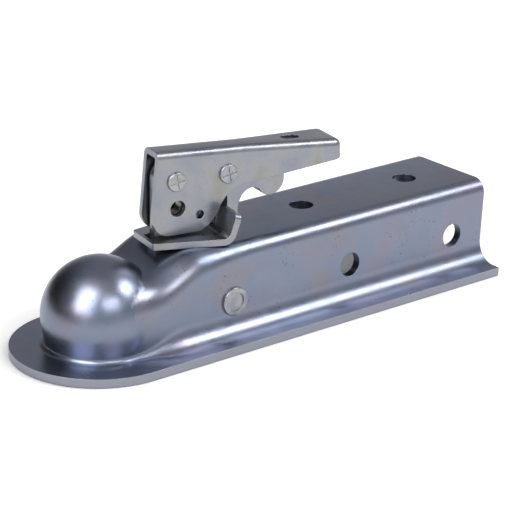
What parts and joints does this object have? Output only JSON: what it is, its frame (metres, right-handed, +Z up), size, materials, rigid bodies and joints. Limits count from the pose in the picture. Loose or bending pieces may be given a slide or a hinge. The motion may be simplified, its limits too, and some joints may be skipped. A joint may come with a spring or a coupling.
{
  "type": "trailer coupling head",
  "caption": "Pressed steel ball coupling for a channel tongue, with a lever latch and finger trigger on its roof and a clamp under the ball socket.",
  "frame": {"origin": "centre of the ball in its socket", "axes": "+X along the channel towards the trailer, +Y across it, +Z up"},
  "size_m": [0.2925, 0.095, 0.1027],
  "materials": {
    "body_zinc": "zinc plated, satin",
    "latch_zinc": "zinc plated, bright",
    "pin_zinc": "zinc plated, bright",
    "clamp_iron": "zinc plated forging",
    "spring_steel": "oiled spring wire"
  },
  "bodies": {
    "root": {"coupler_body": "body_zinc", "clamp_pivot_rivet": "pin_zinc", "clamp_spacer_near": "pin_zinc", "clamp_spacer_far": "pin_zinc", "base_plate": "latch_zinc", "clamp_spring": "spring_steel", "spring_washer": "pin_zinc"},
    "stem": {"latch_stem": "latch_zinc", "nut_washer": "pin_zinc", "lock_nut": "pin_zinc"},
    "lever": {"latch_lever": "latch_zinc", "lever_pivot_pin": "pin_zinc", "trigger_pivot_pin": "pin_zinc", "stem_washer_near": "pin_zinc", "stem_washer_far": "pin_zinc", "trigger_spring": "spring_steel"},
    "trigger": {"trigger": "latch_zinc"},
    "clamp": {"ball_clamp": "clamp_iron"}
  },
  "joints": [
    {"name": "stem_drop", "type": "slide", "parent": "root", "child": "stem", "axis": [0, 0, -1], "range_m": [0, 0.00488], "deforming": ["clamp_spring"]},
    {"name": "lever_lift", "type": "hinge", "parent": "stem", "child": "lever", "pos_m": [0.0447, 0, 0.0651], "axis": [-0.1736, -0.9848, 0], "range_deg": [0, 90]},
    {"name": "trigger_squeeze", "type": "hinge", "parent": "lever", "child": "trigger", "pos_m": [0.07444, -0.00524, 0.0651], "axis": [-0.1736, -0.9848, 0], "range_deg": [0, 14], "stiffness_Nm_per_rad": 0.3, "springref_deg": -17.19},
    {"name": "clamp_open", "type": "hinge", "parent": "root", "child": "clamp", "pos_m": [0.0643, 0, 0.0011], "axis": [0, -1, 0], "range_deg": [0, 9.95]}
  ],
  "couplings": [
    {"joint": "stem_drop", "follows": "lever_lift", "m_per_rad": 0.0031},
    {"joint": "clamp_open", "follows": "lever_lift", "ratio": 0.11}
  ]
}
